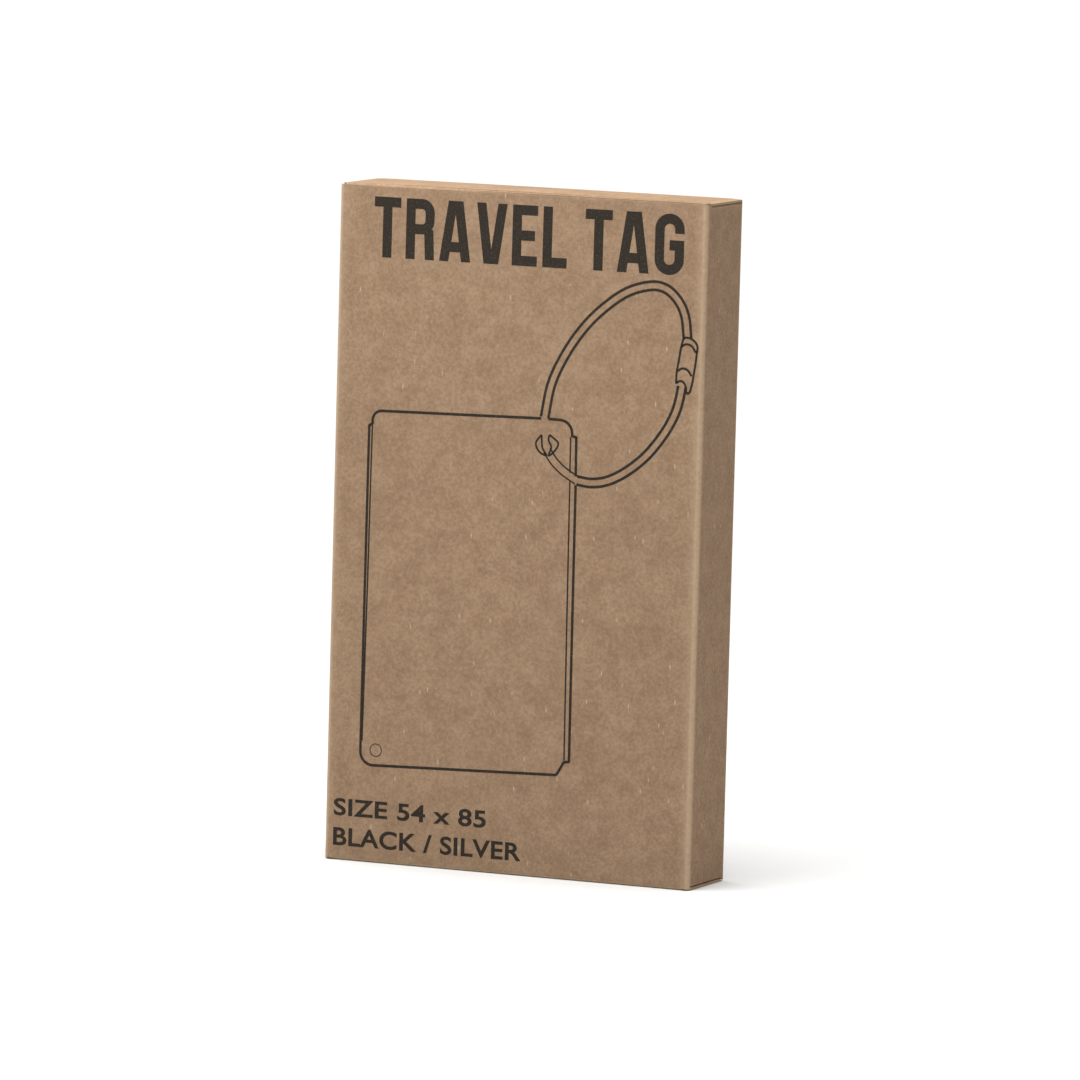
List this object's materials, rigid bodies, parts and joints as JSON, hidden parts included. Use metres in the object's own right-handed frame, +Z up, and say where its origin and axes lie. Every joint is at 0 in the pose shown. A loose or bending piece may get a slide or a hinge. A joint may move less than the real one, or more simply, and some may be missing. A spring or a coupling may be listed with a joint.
{
  "type": "boxed luggage tag",
  "caption": "Slim kraft tuck-end carton that holds a black metal luggage tag with an address card and a screw-locked steel wire loop.",
  "frame": {"origin": "middle of the carton's base, on the surface it stands on", "axes": "+X across the carton's width to the right, +Y to the back, +Z up"},
  "size_m": [0.088, 0.02, 0.15],
  "materials": {
    "kraft_board": "uncoated brown kraft board, printed in one dark ink",
    "anodised_plate": "black anodised, satin",
    "card_paper": "matt white card",
    "clear_film": "clear plastic film",
    "wire_rope": "stranded stainless steel wire",
    "steel_clasp": "turned stainless steel",
    "brass_bush": "turned brass"
  },
  "bodies": {
    "carton": {"front_panel": "kraft_board", "back_panel": "kraft_board", "left_side_panel": "kraft_board", "right_side_panel": "kraft_board", "glue_flap": "kraft_board"},
    "top_lid": {"top_lid": "kraft_board"},
    "top_tuck_flap": {"top_tuck_flap": "kraft_board"},
    "top_left_dust_flap": {"top_left_dust_flap": "kraft_board"},
    "top_right_dust_flap": {"top_right_dust_flap": "kraft_board"},
    "bottom_lid": {"bottom_lid": "kraft_board"},
    "bottom_tuck_flap": {"bottom_tuck_flap": "kraft_board"},
    "bottom_left_dust_flap": {"bottom_left_dust_flap": "kraft_board"},
    "bottom_right_dust_flap": {"bottom_right_dust_flap": "kraft_board"},
    "tag": {"tag_plate": "anodised_plate"},
    "card": {"address_card": "card_paper", "card_window": "clear_film"},
    "loop": {"wire_cable": "wire_rope", "threaded_stud": "steel_clasp", "crimp_ferrule": "steel_clasp"},
    "barrel": {"screw_barrel": "steel_clasp", "retaining_bush": "brass_bush"}
  },
  "joints": [
    {"name": "tag_lift", "type": "slide", "parent": "carton", "child": "tag", "axis": [0, 0, 1], "range_m": [0, 0.104]},
    {"name": "top_lid_hinge", "type": "hinge", "parent": "carton", "child": "top_lid", "pos_m": [0, 0.01, 0.15], "axis": [-1, 0, 0], "range_deg": [0, 250.5]},
    {"name": "top_tuck_crease", "type": "hinge", "parent": "top_lid", "child": "top_tuck_flap", "pos_m": [0, -0.0094, 0.1495], "axis": [-1, 0, 0], "range_deg": [0, 15.5]},
    {"name": "top_left_dust_hinge", "type": "hinge", "parent": "carton", "child": "top_left_dust_flap", "pos_m": [-0.044, 0, 0.1494], "axis": [0, -1, 0], "range_deg": [0, 140.5]},
    {"name": "top_right_dust_hinge", "type": "hinge", "parent": "carton", "child": "top_right_dust_flap", "pos_m": [0.044, 0, 0.1494], "axis": [0, 1, 0], "range_deg": [0, 140.5]},
    {"name": "bottom_lid_hinge", "type": "hinge", "parent": "carton", "child": "bottom_lid", "pos_m": [0, -0.01, 0], "axis": [-1, 0, 0], "range_deg": [0, 250]},
    {"name": "bottom_tuck_crease", "type": "hinge", "parent": "bottom_lid", "child": "bottom_tuck_flap", "pos_m": [0, 0.0094, 0.0005], "axis": [-1, 0, 0], "range_deg": [0, 15.5]},
    {"name": "bottom_left_dust_hinge", "type": "hinge", "parent": "carton", "child": "bottom_left_dust_flap", "pos_m": [-0.044, 0, 0.0006], "axis": [0, 1, 0], "range_deg": [0, 140.5]},
    {"name": "bottom_right_dust_hinge", "type": "hinge", "parent": "carton", "child": "bottom_right_dust_flap", "pos_m": [0.044, 0, 0.0006], "axis": [0, -1, 0], "range_deg": [0, 140.5]},
    {"name": "card_slide", "type": "slide", "parent": "tag", "child": "card", "axis": [0, 0, -1], "range_m": [0, 0.0241]},
    {"name": "loop_swing", "type": "hinge", "parent": "tag", "child": "loop", "pos_m": [0.0052, -0.0031, 0.0801], "axis": [0, -1, 0], "range_deg": [0, 54]},
    {"name": "barrel_turn", "type": "hinge", "parent": "loop", "child": "barrel", "pos_m": [0.03385, -0.0039, 0.1089], "axis": [-0.3438, 0.05, 0.9377], "continuous": true}
  ],
  "couplings": [
    {"joint": "top_lid_hinge", "follows": "tag_lift", "rad_per_m": 41.955},
    {"joint": "top_tuck_crease", "follows": "tag_lift", "rad_per_m": 2.5173},
    {"joint": "top_left_dust_hinge", "follows": "tag_lift", "rad_per_m": 23.495},
    {"joint": "top_right_dust_hinge", "follows": "tag_lift", "rad_per_m": 23.495},
    {"joint": "card_slide", "follows": "tag_lift", "ratio": 0.23077},
    {"joint": "bottom_tuck_crease", "follows": "bottom_lid_hinge", "ratio": 0.06},
    {"joint": "bottom_left_dust_hinge", "follows": "bottom_lid_hinge", "ratio": 0.56},
    {"joint": "bottom_right_dust_hinge", "follows": "bottom_lid_hinge", "ratio": 0.56}
  ]
}
